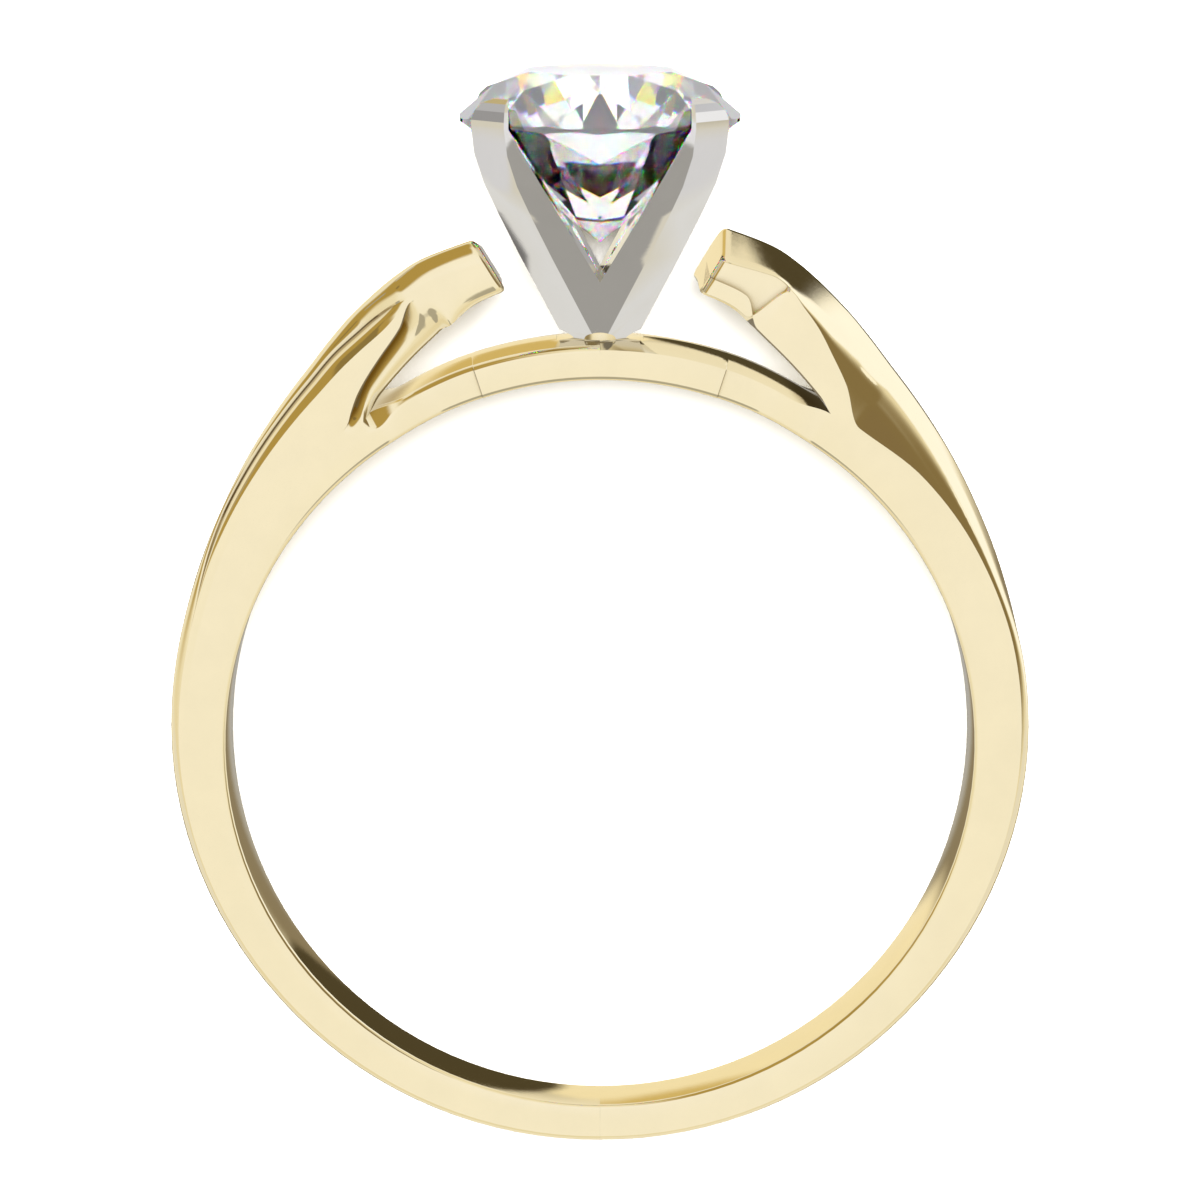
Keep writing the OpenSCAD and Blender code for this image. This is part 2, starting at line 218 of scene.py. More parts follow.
def pocket(a):
    return POCKET_DEPTH * ease(a, 54.8, 58.5) * (1 - ease(a, 69.8, KNUCKLE_A))


def lift(a):
    return POCKET_LIFT * ease(a, CROTCH_A, 59) * (1 - ease(a, 69.8, KNUCKLE_A))


def tuck(a):
    return ease(a, 70.5, 74)


def crown_at(a):
    return CROWN * ease(a, 0, 20) * (1 - ease(a, 46, 56))


def crest_y(a):
    return -1.1 * ease(a, 48, 77)


def half_w(a):
    return (BAND_W_BOTTOM + (BAND_W_SIDE - BAND_W_BOTTOM) * ease(a, -78, 24)
            + (SHOULDER_W - BAND_W_SIDE) * ease(a, 20, 68)) / 2


def blended(p, q, u):
    return [tuple(mix(m, n, u) for m, n in zip(a, b)) for a, b in zip(p, q)]


# A section is a list of corners (height over the finger hole, place across, reach of its rounding).
# A corner is drawn with ARC points. One without a reach is a single point, and a reach of 0 is also
# marked as a sharp edge.
ARC = 6


def rounded(corners):
    """The corners' outline, each rounded by a curve that stays clear of its neighbours."""
    outline = []
    for i, (h, y, reach) in enumerate(corners):
        if not reach:
            outline.append((h, y))
            continue
        here = Vector((h, y))
        ends = []
        for other in (corners[i - 1], corners[(i + 1) % len(corners)]):
            way = Vector(other[:2]) - here
            room = max(0.48 * way.length, way.length - (other[2] or 0) - 0.01)
            ends.append(here + way.normalized() * min(reach, room) if way.length > 1e-9 else here)
        for k in range(ARC):
            t = k / (ARC - 1)
            outline.append(tuple(ends[0] * (1 - t) ** 2 + here * 2 * t * (1 - t) + ends[1] * t * t))
    return outline


def evened(outline):
    """As many points, evenly spaced, on the outline averaged with its mirror image.

    Both halves meet there.
    """
    n = len(outline)
    closed = np.array(list(outline) + [outline[0]])
    run = np.concatenate([[0], np.cumsum(np.linalg.norm(np.diff(closed, axis=0), axis=1))])
    spread = np.arange(n) * run[-1] / n
    points = np.stack([np.interp(spread, run, closed[:, k]) for k in (0, 1)], axis=1)
    mirror = points[-np.arange(n) % n] * (1, -1)
    return [tuple(p) for p in (points + mirror) / 2]


def sharp_points(corners):
    """Places in the outline of the corners that are sharp edges."""
    count, found = 0, set()
    for *_, reach in corners:
        if reach == 0:
            found.add(count)
        count += ARC if reach else 1
    return found


def front_corners(a):
    """From the bridge's parting to the crest: roll, hook line, leaf, its outer edge, upper strand."""
    w, d = half_w(a), pocket(a)
    f, low, r = front_edge(a), underside(a), rail(a)
    k = ease(a, 30, POCKET_A)
    split = mix(0.45 * f, low + lift(a), k)
    p = mix(0.85 * f, max(pocket_edge(a), low + 0.12), k)
    crown = crown_at(a)
    wall = ease(a, POCKET_A, 55.5) * (1 - ease(a, 66.5, 69)) * min(1, (p - split) / 0.5)
    lower = [(split, -w + d + 0.2 * tuck(a), None),
             (mix(split, p, 0.1), -w + 0.5 * d + 0.05 * tuck(a), 0.15),
             (mix(split, p, 0.5), -w + 0.05 * wall, 0.3),
             (p - 0.01 - 0.04 * wall, -w + 0.26 * wall, 0),
             (p, -w, 0)]
    drop = STRAND_DROP * ease(a, 14, 42) * (1 - ease(a, 61, 68.5))
    face = -w + drop
    brow = max(foot(a) + 0.09, r - RIM_ROUND)
    shoulder = [(f, -w + crown, 0),
                (mix(f, foot(a), 0.72), -w + 0.3 * drop, 0.1),
                (foot(a), face + 0.4 * drop, 0),
                (foot(a) + 0.05, face, 0),
                (brow, face, 0.02),
                (r, face + 0.03, RIM_ROUND)]
    turn = (mix(f, r, 0.9), -w + 0.12)
    plain = [(mix(f, turn[0], u), mix(-w + crown, turn[1], u), reach)
             for u, reach in ((0, 0), (0.02, 0.01), (0.04, 0), (0.06, 0), (0.08, 0.01), (1, 0.22))]
    return lower + blended(plain, shoulder, ease(a, 14, 34)) + [(r, crest_y(a), 0.1)]


def back_corners(a):
    """From the crest to the back: outer slope, back edge, and the step at the knuckle."""
    w, r, b = half_w(a), rail(a), back_edge(a)
    turn_h = min(max(at(TURN, 1, a), b + 0.03), r - 0.05)
    turn_y = w - (turn_h - b) / math.tan(math.radians(BACK_SLOPE)) - 0.02
    crown = crown_at(a)
    behind = BACK_STEP * ease(a, 69.3, 70)
    part = mix(b - 0.05, underside(a) + 0.12, ease(a, 69.5, 72.6))
    slope = [(turn_h, turn_y, 0.6), (b, w - crown - behind, 0)]
    plain = [(mix(b, r, 0.9), w - 0.12, 0.22), (b, w - crown, 0)]
    return blended(plain, slope, ease(a, 10, 30)) + [(part, w - crown - behind, 0.01),
                                                      (part - 0.03, w - crown, 0.01)]


def hole_corner(w):
    return [(0, w - 0.5 * CROWN, COMFORT_R)]


def mirrored(corners):
    return [(h, -y, reach) for h, y, reach in corners]


def band_corners(a):
    """Whole section of the band, from the middle of the finger hole round the front to the back."""
    w = half_w(a)
    k = ease(a, 30, POCKET_A)
    edge = mix(0.3 * front_edge(a), 0.45, k)
    back_split = mix(0.45 * back_edge(a), min(underside(CROTCH_A), back_edge(a) - 0.25), k)
    return ([(0, 0, None)] + mirrored(hole_corner(w)) + [(edge, -w, 0.05)]
            + front_corners(a) + back_corners(a) + [(back_split, w, None)] + hole_corner(w))


def crotch_line(a):
    """Where the bridge and the strands part, from back to front."""
    w, low, raised, tucked = half_w(a), underside(a), lift(a), tuck(a)
    back, front = w - 0.18 * tucked, -w + pocket(a) + 0.2 * tucked
    return [(low + raised * ease(u, 0.55, 1.05), mix(back, front, u), None)
            for u in (0.1, 0.3, 0.5, 0.7, 0.9)]


def strand_corners(a):
    """Section of the free strands, closed below by the line along which they parted."""
    split = underside(a) + 0.06 * ease(a, CROTCH_A, 59) + 0.4 * tuck(a)
    return front_corners(a) + back_corners(a) + [(split, half_w(a), None)] + crotch_line(a)


SEAT_A = 90 - math.degrees(math.asin(SEAT_HALF / (HOLE_R + BRIDGE_H / 2)))


# Place across as a share of the half width, drop below the crest, and 0 where the edge is sharp. As many
# rows as the crotch line has points.
BRIDGE_TOP = [(-0.88, 0.12, 0), (-0.78, 0.13, 0), (-0.35, 0.02, None), (0.1, 0, None), (0.75, 0.1, None)]


def bridge_corners(a):
    """Section of the bridge, which passes from the crotch line into its own domed top."""
    w = mix(half_w(CROTCH_A), BRIDGE_W / 2, ease(a, CROTCH_A, 66)) + (SEAT_PROUD if a > SEAT_A else 0)
    c, h0 = ease(a, CROTCH_A, 62), underside(CROTCH_A)
    t = mix(0.84, BRIDGE_H, ease(a, 57, 72))
    y = mix(-half_w(CROTCH_A) + pocket(CROTCH_A), -w + 0.05, ease(a, CROTCH_A, 60))
    top = [(mix(h0, t - drop, c), mix(mix(y, w, 0.5 + 0.4 * u), w * u, c), sharp)
           for u, drop, sharp in BRIDGE_TOP]
    return ([(0, 0, None)] + mirrored(hole_corner(w)) + [(mix(0.45, t - 0.21, c), -w, 0.05)]
            + [(mix(h0, t - 0.15, c), y, None)] + top + [(mix(h0, t - 0.2, c), w, None)] + hole_corner(w))


def placed(corners, a, base=0, tilt=0, skew=0):
    """A section's outline in the ring's frame, at the left. The strands' sections lean by tilt and skew."""
    ca, sa = math.cos(math.radians(a)), math.sin(math.radians(a))
    ct, st = math.cos(math.radians(a - tilt)), math.sin(math.radians(a - tilt))
    f = HOLE_R + base
    ahead = Vector((st, 0, ct))
    outline = evened(rounded(corners)) if a in (BOTTOM_A, TOP_A) else rounded(corners)
    return [Vector((-f * ca - (h - base) * ct, y, f * sa + (h - base) * st))
            - ahead * skew * (y + SHOULDER_W / 2) for h, y in outline]


def lean(a):
    return END_LEAN * ease(a, 60, END_A)


def strand_ring(a):
    return placed(strand_corners(a), a, underside(a), lean(a), END_SKEW * ease(a, 66, END_A))


def steps(*stretches):
    """Angles from stretches (from, to, step)."""
    angles = []
    for start, end, step in stretches:
        n = max(1, round((end - start) / step))
        angles += [start + (end - start) * i / n for i in range(n)]
    return angles + [stretches[-1][1]]


# Shank
SEAM = 0.005          # width in degrees of the strip in which a section turns into the evened one
BAND_ANGLES = steps((BOTTOM_A, BOTTOM_A + SEAM, SEAM), (BOTTOM_A + SEAM, 6, 3), (6, 48, 1.5),
                    (48, POCKET_A, 0.5), (POCKET_A, CROTCH_A, 0.25))
STRAND_ANGLES = steps((CROTCH_A + 0.25, 68, 0.45), (68, 73, 0.2), (73, END_A - 0.4 * END_ROUND, 0.5))
BRIDGE_ANGLES = steps((CROTCH_A + 0.25, 62, 0.45), (62, SEAT_A - 0.1, 1.2), (SEAT_A - 0.1, SEAT_A + 0.1, 0.1),
                      (SEAT_A + 0.1, TOP_A - SEAM, 1.2), (TOP_A - SEAM, TOP_A, SEAM))


def build_shank():
    bm = bmesh.new()

    def ring(points):
        return [bm.verts.new(p) for p in points]

    def join(a, b, sharp=()):
        n = len(a)
        for j in range(n):
            bm.faces.new((a[j], a[(j + 1) % n], b[(j + 1) % n], b[j]))
        for j in sharp:
            bm.edges.get((a[j], b[j])).smooth = False

    band = [ring(placed(band_corners(a), a)) for a in BAND_ANGLES]
    for below, above in zip(band, band[1:]):
        join(below, above, sharp_points(band_corners(0)))
    last = band[-1]
    front_split = 1 + 2 * ARC
    back_split = len(last) - 1 - ARC
    crotch = ring(placed(crotch_line(CROTCH_A), CROTCH_A))          # from back to front
    upper = last[front_split:back_split + 1] + crotch
    lower = last[:front_split + 1] + crotch[::-1] + last[back_split:]
    strand = [upper] + [ring(strand_ring(a)) for a in STRAND_ANGLES]
    bridge = [lower] + [ring(placed(bridge_corners(a), a)) for a in BRIDGE_ANGLES]
    for rings, corners in ((strand, strand_corners(60)), (bridge, bridge_corners(60))):
        for below, above in zip(rings, rings[1:]):
            join(below, above, sharp_points(corners))
    # The thin strip where the halves meet doesn't bend the shading beside it
    for seam in (band[1], bridge[-2]):
        for j in range(len(seam)):
            bm.edges.get((seam[j - 1], seam[j])).smooth = False
    # Rounded end
    for turn in (24, 44, 62, 78, 90):
        out, inset = math.sin(math.radians(turn)), 1 - math.cos(math.radians(turn))
        end = strand_ring(END_A + END_ROUND * (out - 0.4))
        middle = sum(end, Vector()) / len(end)
        strand.append(ring([p + (middle - p).normalized() * END_INSET * inset for p in end]))
        join(strand[-2], strand[-1])
    hub = bm.verts.new(middle)
    tip = strand[-1]
    for j in range(len(tip)):
        bm.faces.new((tip[j], tip[(j + 1) % len(tip)], hub))
    # Second half: the same, turned by half a turn about the head's axis
    twin = bmesh.ops.duplicate(bm, geom=bm.verts[:] + bm.edges[:] + bm.faces[:])
    turned = [g for g in twin["geom"] if isinstance(g, bmesh.types.BMVert)]
    bmesh.ops.rotate(bm, verts=turned, cent=(0, 0, 0), matrix=Matrix.Rotation(math.pi, 3, "Z"))
    ends = band[0] + bridge[-1]
    ends += [twin["vert_map"][v] for v in ends]
    bmesh.ops.remove_doubles(bm, verts=ends, dist=1e-4)
    bmesh.ops.recalc_face_normals(bm, faces=bm.faces)
    mesh = bpy.data.meshes.new("shank_gold")
    bm.to_mesh(mesh)
    bm.free()
    obj = new_object("shank_gold", mesh)
    # Land and blind hole for the head's foot and peg
    land = dict(size=2, matrix=Matrix.Translation((0, 0, LAND_Z + 1)))
    hole_r, hole_middle = PEG_R + FIT_GAP, LAND_Z + 0.5 - PEG_DEPTH / 2 - FIT_GAP
    blind_hole = dict(cap_ends=True, segments=48, radius1=hole_r, radius2=hole_r, depth=1 + PEG_DEPTH,
                      matrix=Matrix.Translation((0, 0, hole_middle)))
    for make, size in ((bmesh.ops.create_cube, land), (bmesh.ops.create_cone, blind_hole)):
        subtract(obj, cutter_from(make, size), "MANIFOLD")
    return obj


# Head
FLARE = [[0, 0], [0.2, 0.24], [0.4, 0.48], [0.6, 0.71], [0.74, 0.86], [0.88, 0.965], [1, 1]]
TIPS = [[0.25, 1.0, 1.0], [0.6, 0.97, 0.9], [0.86, 0.91, 0.7], [1, 0.825, 0.45]]


def octagon(s, k, z):
    """A square of half width s at height z, its corners cut off k along each side."""
    points = []
    for q in range(4):
        for x, y in ((s, -(s - k)), (s, s - k)):
            points.append(Matrix.Rotation(q * math.pi / 2, 3, "Z") @ Vector((x, y, z)))
    return points


def lofted(rings):
    """A solid through rings of points, closed at both ends."""
    n, m = len(rings[0]), len(rings)
    verts = [p for r in rings for p in r]
    faces = [[k * n + j, k * n + (j + 1) % n, (k + 1) * n + (j + 1) % n, (k + 1) * n + j]
             for k in range(m - 1) for j in range(n)]
    return verts, faces + [list(range(n))[::-1], [(m - 1) * n + j for j in range(n)]]


def turned_profile(points, segments=96):
    """A solid turned about the head's axis from [radius, height] points, on the axis at both ends."""
    verts, faces = [Vector((0, 0, points[0][1]))], []
    rows = points[1:-1]
    for r, z in rows:
        for i in range(segments):
            t = 2 * math.pi * i / segments
            verts.append(Vector((r * math.cos(t), r * math.sin(t), z)))
    verts.append(Vector((0, 0, points[-1][1])))
    top = len(verts) - 1
    for i in range(segments):
        n = (i + 1) % segments
        faces.append([0, 1 + n, 1 + i])
        for k in range(len(rows) - 1):
            a = 1 + k * segments
            faces.append([a + i, a + n, a + segments + n, a + segments + i])
        faces.append([top, 1 + (len(rows) - 1) * segments + i, 1 + (len(rows) - 1) * segments + n])
    return verts, faces


GIRDLE_HIGH, GIRDLE_LOW = GIRDLE_Z + GIRDLE_T / 2, GIRDLE_Z - GIRDLE_T / 2
TABLE_R = STONE_R * TABLE_RATIO
TABLE_Z = GIRDLE_HIGH + (STONE_R - TABLE_R) * math.tan(math.radians(CROWN_ANGLE))
CULET_Z = GIRDLE_LOW - STONE_R * math.tan(math.radians(PAVILION_ANGLE))


def mesh_cutter(verts, faces, turn=0):
    """An object to subtract, turned about the head's axis by the quarter turns given."""
    spin = Matrix.Rotation(turn * math.pi / 2, 3, "Z")
    return new_object("cut", mesh_from("cut", [spin @ v for v in verts], faces))


def build_head():
    rings = [octagon(mix(FOOT_HALF, RIM_HALF, s), PRONG_FACE, mix(FOOT_Z, GIRDLE_Z, h)) for h, s in FLARE]
    rings += [octagon(RIM_HALF * s, PRONG_FACE * f, GIRDLE_Z + TIP_RISE * h) for h, s, f in TIPS]
    obj = new_object("head_white_gold", mesh_from("head_white_gold", *lofted(rings)))
    # V cuts between the prongs
    above = GIRDLE_Z + 2
    outline = [(0, FOOT_Z + NOTCH_RISE), (NOTCH_HALF, GIRDLE_Z), (NOTCH_HALF, above),
               (-NOTCH_HALF, above), (-NOTCH_HALF, GIRDLE_Z)]
    walls = lofted([[Vector((x, y, z)) for x, z in outline] for y in (-NOTCH_REACH, NOTCH_REACH)])
    for q in range(2):
        subtract(obj, mesh_cutter(*walls, q))
    # Seat of the stone
    seat_r = STONE_R + FIT_GAP
    seat = [(0, CULET_Z - 0.1), (seat_r, GIRDLE_LOW - 0.02), (seat_r, GIRDLE_HIGH + 0.02),
            (0, GIRDLE_HIGH + STONE_R * math.tan(math.radians(CROWN_ANGLE)))]
    subtract(obj, mesh_cutter(*turned_profile(seat)))
    # Arches at the foot
    squashed = Matrix.Rotation(math.pi / 2, 4, "X") @ Matrix.Diagonal((1, ARCH_SQUASH, 1, 1))
    for q in range(2):
        place = Matrix.Rotation(q * math.pi / 2, 4, "Z") @ Matrix.Translation((0, 0, FOOT_Z)) @ squashed
        arch = dict(cap_ends=True, segments=32, radius1=ARCH_R, radius2=ARCH_R, depth=6, matrix=place)
        subtract(obj, cutter_from(bmesh.ops.create_cone, arch))
    bevel = obj.modifiers.new("edges", "BEVEL")
    bevel.width, bevel.segments = HEAD_BEVEL, 2
    bevel.limit_method, bevel.angle_limit = "ANGLE", math.radians(24)
    apply_modifiers(obj)
    return obj


# Stone
def build_stone():
    """A round girdle cut by the facets' planes, so that its edge is scalloped as a real one's is."""
    half_facet = math.cos(math.radians(22.5))
    star_r = mix(TABLE_R * half_facet, STONE_R, 0.5)
    star_z = GIRDLE_HIGH + (STONE_R - star_r * half_facet) * math.tan(math.radians(CROWN_ANGLE))
    lower_r = LOWER_FACET_SHARE * STONE_R
    lower_z = CULET_Z + lower_r * half_facet * math.tan(math.radians(PAVILION_ANGLE))

    def point(r, z, turn):
        t = math.radians(22.5 * turn)
        return Vector((r * math.cos(t), r * math.sin(t), z))

    culet = Vector((0, 0, CULET_Z))
    bm = bmesh.new()
    bmesh.ops.create_cone(bm, cap_ends=True, segments=128, radius1=STONE_R, radius2=STONE_R, depth=6,
                          matrix=Matrix.Translation((0, 0, GIRDLE_Z)))

    def cut(a, b, c):
        normal = (b - a).cross(c - a).normalized()
        if normal.dot(a - Vector((0, 0, GIRDLE_Z))) < 0:
            normal.negate()
        geom = bm.verts[:] + bm.edges[:] + bm.faces[:]
        made = bmesh.ops.bisect_plane(bm, geom=geom, plane_co=a, plane_no=normal, clear_outer=True, dist=1e-5)
        rim = [e for e in made["geom_cut"] if isinstance(e, bmesh.types.BMEdge)]
        if rim:
            bmesh.ops.contextual_create(bm, geom=rim)

    table_corner = point(TABLE_R, TABLE_Z, 1)
    cut(table_corner, point(TABLE_R, TABLE_Z, 5), point(TABLE_R, TABLE_Z, 9))
    for i in range(8):
        t = 2 * i
        cut(point(TABLE_R, TABLE_Z, t + 1), point(star_r, star_z, t), point(star_r, star_z, t + 2))
        for s in (-1, 1):
            cut(point(star_r, star_z, t), point(STONE_R, GIRDLE_HIGH, t), point(STONE_R, GIRDLE_HIGH, t + s))
            cut(point(lower_r, lower_z, t), point(STONE_R, GIRDLE_LOW, t), point(STONE_R, GIRDLE_LOW, t + s))
        cut(point(TABLE_R, TABLE_Z, t + 1), point(TABLE_R, TABLE_Z, t - 1), point(star_r, star_z, t))
        cut(culet, point(lower_r, lower_z, t), point(lower_r, lower_z, t + 2))
    bmesh.ops.remove_doubles(bm, verts=bm.verts, dist=1e-5)
    bmesh.ops.recalc_face_normals(bm, faces=bm.faces)
    mesh = bpy.data.meshes.new("round_brilliant")
    bm.to_mesh(mesh)
    bm.free()
    return new_object("round_brilliant", mesh)


def shade(mesh, angle):
    """Smooth shading, with the edges kept sharp that are marked so or that turn by more than the angle."""
    bm = bmesh.new()
    bm.from_mesh(mesh)
    for face in bm.faces:
        face.smooth = True
    for edge in bm.edges:
        if edge.calc_face_angle(math.pi) > angle:
            edge.smooth = False
    bm.to_mesh(mesh)
    bm.free()


shank, head, stone = build_shank(), build_head(), build_stone()
for obj, node, slot, angle in ((shank, "shank", "yellow_gold", 35), (head, "head", "white_gold", 12),
                               (stone, "center_stone", "diamond", 0)):
    obj.data.transform(to_world)
    obj.data.update()
    if angle:
        shade(obj.data, math.radians(angle))
    else:
        obj.data.shade_flat()
    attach(obj, "root")
    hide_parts(node)


# Materials
def new_material(name):
    mat = bpy.data.materials.new(name)
    mat.use_nodes = True
    tree = mat.node_tree
    tree.nodes.clear()
    return mat, tree, tree.nodes.new("ShaderNodeOutputMaterial")


def add(tree, kind, **values):
    """A node, with its inputs set by name and its own settings by lower-case name."""
    node = tree.nodes.new(kind)
    for key, value in values.items():
        if key in node.inputs:
            node.inputs[key].default_value = value
        else:
            setattr(node, key, value)
    return node


# Reach of the ambient occlusion that paints shade into creases, in metres
CREASE_SHADE_REACH = 0.0005


def polished_metal(name, facing, crease_shade, edge, tone, scratch):
    """Mirror polish with slight variation of colour and gloss.

    The colour is darkened in creases and recesses by ambient occlusion, a painted shade, and fine polishing
    lines are bump.
    """
    mat, tree, out = new_material(name)
    link = tree.links.new
    shader = add(tree, "ShaderNodeBsdfPrincipled", Metallic=1.0)
    shader.inputs["Specular Tint"].default_value = (*edge, 1)
    place = add(tree, "ShaderNodeTexCoord")
    cloud = add(tree, "ShaderNodeTexNoise", Scale=900.0, Detail=4.0, Roughness=0.6)
    link(place.outputs["Object"], cloud.inputs["Vector"])
    tint = add(tree, "ShaderNodeValToRGB")
    low, high = tint.color_ramp.elements
    low.position, low.color = 0.3, (*[c * tone for c in facing], 1)
    high.position, high.color = 0.7, (*facing, 1)
    link(cloud.outputs["Fac"], tint.inputs["Fac"])
    # Painted shade: where ambient occlusion finds creases and recesses, the base colour darkens towards the
    # crease shade colour
    crease_occlusion = add(tree, "ShaderNodeAmbientOcclusion", Distance=CREASE_SHADE_REACH, samples=8, only_local=True)
    depth = add(tree, "ShaderNodeMapRange", interpolation_type="SMOOTHSTEP")
    depth.inputs["From Min"].default_value, depth.inputs["From Max"].default_value = 0.3, 0.95
    link(crease_occlusion.outputs["AO"], depth.inputs["Value"])
    painted_crease_shade = add(tree, "ShaderNodeMix", data_type="RGBA")
    painted_crease_shade.inputs["A"].default_value = (*crease_shade, 1)
    link(depth.outputs["Result"], painted_crease_shade.inputs["Factor"])
    link(tint.outputs["Color"], painted_crease_shade.inputs["B"])
    link(painted_crease_shade.outputs["Result"], shader.inputs["Base Color"])
    gloss = add(tree, "ShaderNodeMapRange")
    gloss.inputs["To Min"].default_value, gloss.inputs["To Max"].default_value = 0.035, 0.085
    link(cloud.outputs["Fac"], gloss.inputs["Value"])
    link(gloss.outputs["Result"], shader.inputs["Roughness"])
    stretch = add(tree, "ShaderNodeMapping")
    stretch.inputs["Scale"].default_value = (1, 1, 9)
    link(place.outputs["Object"], stretch.inputs["Vector"])
    lines = add(tree, "ShaderNodeTexNoise", Scale=5200.0, Detail=2.0)
    link(stretch.outputs["Vector"], lines.inputs["Vector"])
    bump = add(tree, "ShaderNodeBump", Strength=scratch, Distance=0.00001)
    link(lines.outputs["Fac"], bump.inputs["Height"])
    link(bump.outputs["Normal"], shader.inputs["Normal"])
    link(shader.outputs["BSDF"], out.inputs["Surface"])
    return mat


def diamond():
    """Clear glass of a diamond's index, a little different for red, green and blue."""
    mat, tree, out = new_material("diamond")
    link = tree.links.new
    parts = [add(tree, "ShaderNodeBsdfGlass", Color=colour, Roughness=0.0, IOR=index)
             for colour, index in (((1, 0, 0, 1), 2.405), ((0, 1, 0, 1), 2.42), ((0, 0, 1, 1), 2.45))]
    first = add(tree, "ShaderNodeAddShader")
    second = add(tree, "ShaderNodeAddShader")
    link(parts[0].outputs["BSDF"], first.inputs[0])
    link(parts[1].outputs["BSDF"], first.inputs[1])
    link(first.outputs["Shader"], second.inputs[0])
    link(parts[2].outputs["BSDF"], second.inputs[1])
    link(second.outputs["Shader"], out.inputs["Surface"])
    return mat


# The crease colours are painted shade for creases and recesses, not tarnish
yellow_gold = polished_metal("yellow_gold", facing=(0.94, 0.83, 0.56), crease_shade=(0.30, 0.20, 0.06),
                             edge=(1.0, 0.96, 0.86), tone=0.965, scratch=0.05)
white_gold = polished_metal("white_gold", facing=(0.76, 0.75, 0.74), crease_shade=(0.30, 0.29, 0.29),
                            edge=(0.9, 0.9, 0.9), tone=0.97, scratch=0.05)
for obj, material in ((shank, yellow_gold), (head, white_gold), (stone, diamond())):
    obj.data.materials.clear()
    obj.data.materials.append(material)

# Floor, light and camera
FLOOR_HALF = 3            # metres
floor_corners = [(x * FLOOR_HALF, y * FLOOR_HALF, 0) for x, y in ((-1, -1), (1, -1), (1, 1), (-1, 1))]
floor = new_object("floor", mesh_from("floor", floor_corners, [[0, 1, 2, 3]]))
mat, tree, out = new_material("studio_floor")
paper = add(tree, "ShaderNodeBsdfPrincipled", Roughness=0.65)
paper.inputs["Base Color"].default_value = (0.93, 0.93, 0.93, 1)
paper.inputs["Specular IOR Level"].default_value = 0.2
tree.links.new(paper.outputs["BSDF"], out.inputs["Surface"])
floor.data.materials.append(mat)

# The studio, by direction: a soft dome, and cards placed by compass angle from the head, clockwise from
# above, and by height above the horizon. Colours are linear.
DOME = [[-90, (0.45, 0.44, 0.42)],
        [-82, (0.45, 0.44, 0.42)],
        [-79, (0.27, 0.23, 0.16)],
        [-72, (0.27, 0.23, 0.16)],
        [-61, (0.90, 0.87, 0.78)],
        [-30, (0.93, 0.92, 0.88)],
        [-14, (0.86, 0.81, 0.66)],
        [10, (0.86, 0.80, 0.64)],
        [26, (0.90, 0.86, 0.74)],
        [46, (0.93, 0.90, 0.80)],
        [56, (0.97, 0.96, 0.92)],
        [90, (1.02, 1.03, 1.10)]]
#         compass  height  radius  softness  colour
CARDS = [[-50, 12, 40, 16, (0.46, 0.33, 0.10)],
         [-45, 50, 20, 10, (0.46, 0.33, 0.10)],
         [-57, 34, 6, 3, (0.28, 0.21, 0.08)],
         [72, 52, 16, 10, (0.24, 0.18, 0.09)],
         [80, 24, 24, 24, (0.25, 0.19, 0.09)],
         [-33, -73, 16, 3, (0.95, 0.88, 0.68)],
         [42, -69, 11.5, 1.5, (0.08, 0.065, 0.035)],
         [-118, -12, 17, 6, (0.86, 0.85, 0.84)],
         [118, -12, 17, 6, (0.86, 0.85, 0.84)],
         [-71, -3, 4, 2, (0.42, 0.41, 0.40)],
         [-43, -18, 4, 2, (0.60, 0.59, 0.58)],
         [71, -3, 4, 2, (1.10, 1.10, 1.10)],
         [43, -18, 4, 2, (0.62, 0.61, 0.60)],
         [136, -60, 15, 5, (0.30, 0.25, 0.15)],
         [-136, -60, 15, 5, (0.24, 0.23, 0.22)],
         [-16, -56, 9, 5, (0.68, 0.53, 0.22)],
         [180, 30, 19, 4, (0.45, 0.435, 0.40)],
         [180, 48, 14, 4, (0.46, 0.445, 0.41)],
         [68, -34, 26, 8, (1.10, 1.14, 1.25)]]
# What the camera sees behind the ring, and what the stone alone shows: white, with dark cards
BACKDROP = (0.96, 0.96, 0.96, 1)
STONE_WHITE = (1.4, 1.4, 1.42, 1)
STONE_CARDS = [[71, -67, 9, 1, (0.02, 0.02, 0.03)],
               [-71, -67, 9, 1, (0.02, 0.02, 0.03)],
               [-110, -56, 8, 1, (0.25, 0.25, 0.30)],
               [170, -54, 9, 1, (0.30, 0.30, 0.32)],
               [28, 36, 8, 1, (0.16, 0.16, 0.20)],
               [-32, 48, 8, 1, (0.12, 0.12, 0.14)],
               [0, 20, 7, 1, (0.10, 0.10, 0.12)],
               [180, 50, 9, 1, (0.14, 0.14, 0.16)],
               [-112, 36, 8, 1, (0.34, 0.33, 0.30)],
               [110, 36, 7, 1, (0.30, 0.30, 0.40)],
               [-75, -14, 8, 1, (0.20, 0.20, 0.22)],
               [75, -14, 8, 1, (0.20, 0.20, 0.22)]]


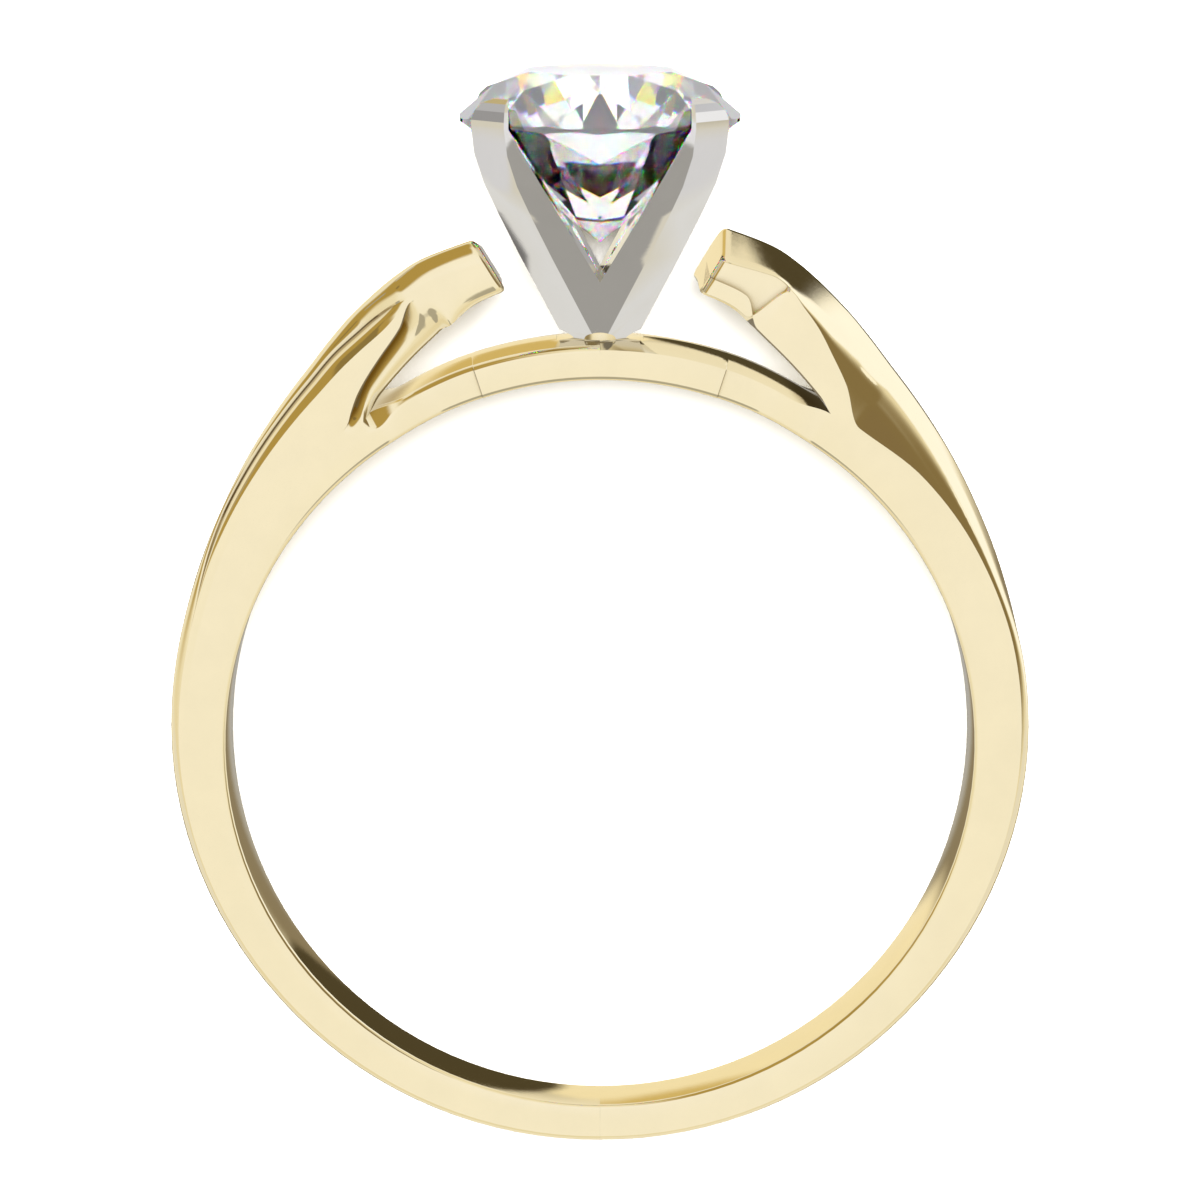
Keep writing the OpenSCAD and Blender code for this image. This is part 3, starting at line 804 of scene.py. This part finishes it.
def studio_world():
    world = bpy.data.worlds.new("studio")
    world.use_nodes = True
    tree = world.node_tree
    tree.nodes.clear()
    link = tree.links.new
    place = add(tree, "ShaderNodeTexCoord")
    ray = place.outputs["Generated"]
    axes = add(tree, "ShaderNodeSeparateXYZ")
    link(ray, axes.inputs["Vector"])
    height = add(tree, "ShaderNodeMath", operation="ARCSINE")
    link(axes.outputs["Z"], height.inputs[0])
    share = add(tree, "ShaderNodeMapRange")
    share.inputs["From Min"].default_value, share.inputs["From Max"].default_value = -math.pi / 2, math.pi / 2
    link(height.outputs["Value"], share.inputs["Value"])
    ramp = add(tree, "ShaderNodeValToRGB")
    while len(ramp.color_ramp.elements) < len(DOME):
        ramp.color_ramp.elements.new(0.5)
    for element, (degrees, colour) in zip(ramp.color_ramp.elements, DOME):
        element.position, element.color = (degrees + 90) / 180, (*colour, 1)
    link(share.outputs["Result"], ramp.inputs["Fac"])

    def with_cards(colour, cards):
        for card in cards:
            colour = with_card(colour, *card)
        return colour

    def with_card(colour, compass, degrees, radius, softness, card):
        t, e = math.radians(compass), math.radians(degrees)
        towards = add(tree, "ShaderNodeVectorMath", operation="DOT_PRODUCT")
        towards.inputs[1].default_value = (math.sin(t) * math.cos(e), math.cos(t) * math.cos(e), math.sin(e))
        link(ray, towards.inputs[0])
        inside = add(tree, "ShaderNodeMapRange", interpolation_type="SMOOTHSTEP")
        inside.inputs["From Min"].default_value = math.cos(math.radians(radius + softness / 2))
        inside.inputs["From Max"].default_value = math.cos(math.radians(max(0, radius - softness / 2)))
        link(towards.outputs["Value"], inside.inputs["Value"])
        over = add(tree, "ShaderNodeMix", data_type="RGBA")
        over.inputs["B"].default_value = (*card, 1)
        link(inside.outputs["Result"], over.inputs["Factor"])
        link(colour, over.inputs["A"])
        return over.outputs["Result"]

    white = add(tree, "ShaderNodeRGB")
    white.outputs["Color"].default_value = STONE_WHITE
    path = add(tree, "ShaderNodeLightPath")
    through = add(tree, "ShaderNodeMix", data_type="RGBA")
    link(path.outputs["Is Singular Ray"], through.inputs["Factor"])
    link(with_cards(ramp.outputs["Color"], CARDS), through.inputs["A"])
    link(with_cards(white.outputs["Color"], STONE_CARDS), through.inputs["B"])
    backdrop = add(tree, "ShaderNodeBackground")
    backdrop.inputs["Color"].default_value = BACKDROP
    studio = add(tree, "ShaderNodeBackground")
    link(through.outputs["Result"], studio.inputs["Color"])
    seen = add(tree, "ShaderNodeMixShader")
    link(path.outputs["Is Camera Ray"], seen.inputs["Fac"])
    link(studio.outputs["Background"], seen.inputs[1])
    link(backdrop.outputs["Background"], seen.inputs[2])
    link(seen.outputs["Shader"], tree.nodes.new("ShaderNodeOutputWorld").inputs["Surface"])
    return world


scene.world = studio_world()

key = bpy.data.lights.new("key", "AREA")
KEY_SIZE, KEY_WATTS, KEY_PLACE = 0.2, 4.5, (0, 0.1, 0.42)         # metres, watts, metres
key.shape, key.size, key.size_y, key.energy = "RECTANGLE", KEY_SIZE, KEY_SIZE, KEY_WATTS
key_obj = new_object("key", key)
key_obj.location = KEY_PLACE
key_obj.rotation_euler = (Vector((0, 0, 0)) - key_obj.location).to_track_quat("-Z", "Y").to_euler()

# The polish mirrors the world and the head and stone, but not the floor, the lamp or the shank itself
for obj in (floor, key_obj, shank):
    obj.visible_glossy = False
floor.visible_transmission = key_obj.visible_transmission = False

EYE_DISTANCE, EYE_HEIGHT, EYE_PITCH = 110.0, 12.955, 11.263     # mm, degrees, in the ring's frame
LENS_PX, FRAME_PX, SENSOR = 4710.0, 1200.0, 36.0
cam = bpy.data.cameras.new("camera")
cam.sensor_width, cam.lens = SENSOR, SENSOR * LENS_PX / FRAME_PX
cam.clip_start, cam.clip_end = 0.005, 10
camera = new_object("camera", cam)
height, pitch = math.radians(EYE_HEIGHT), math.radians(EYE_PITCH)
eye = to_world @ Vector((0, -EYE_DISTANCE * math.cos(height), EYE_DISTANCE * math.sin(height)))
ahead = (to_world.to_3x3() @ Vector((0, math.cos(pitch), -math.sin(pitch)))).normalized()
up = (to_world.to_3x3() @ Vector((0, math.sin(pitch), math.cos(pitch)))).normalized()
turn = Matrix((ahead.cross(up), up, -ahead)).transposed()
camera.matrix_world = Matrix.Translation(eye) @ turn.to_4x4()
scene.camera = camera

scene.view_settings.view_transform = "Standard"
scene.cycles.max_bounces = 24
scene.cycles.glossy_bounces = 8
scene.cycles.transmission_bounces = 20
scene.cycles.diffuse_bounces = 3
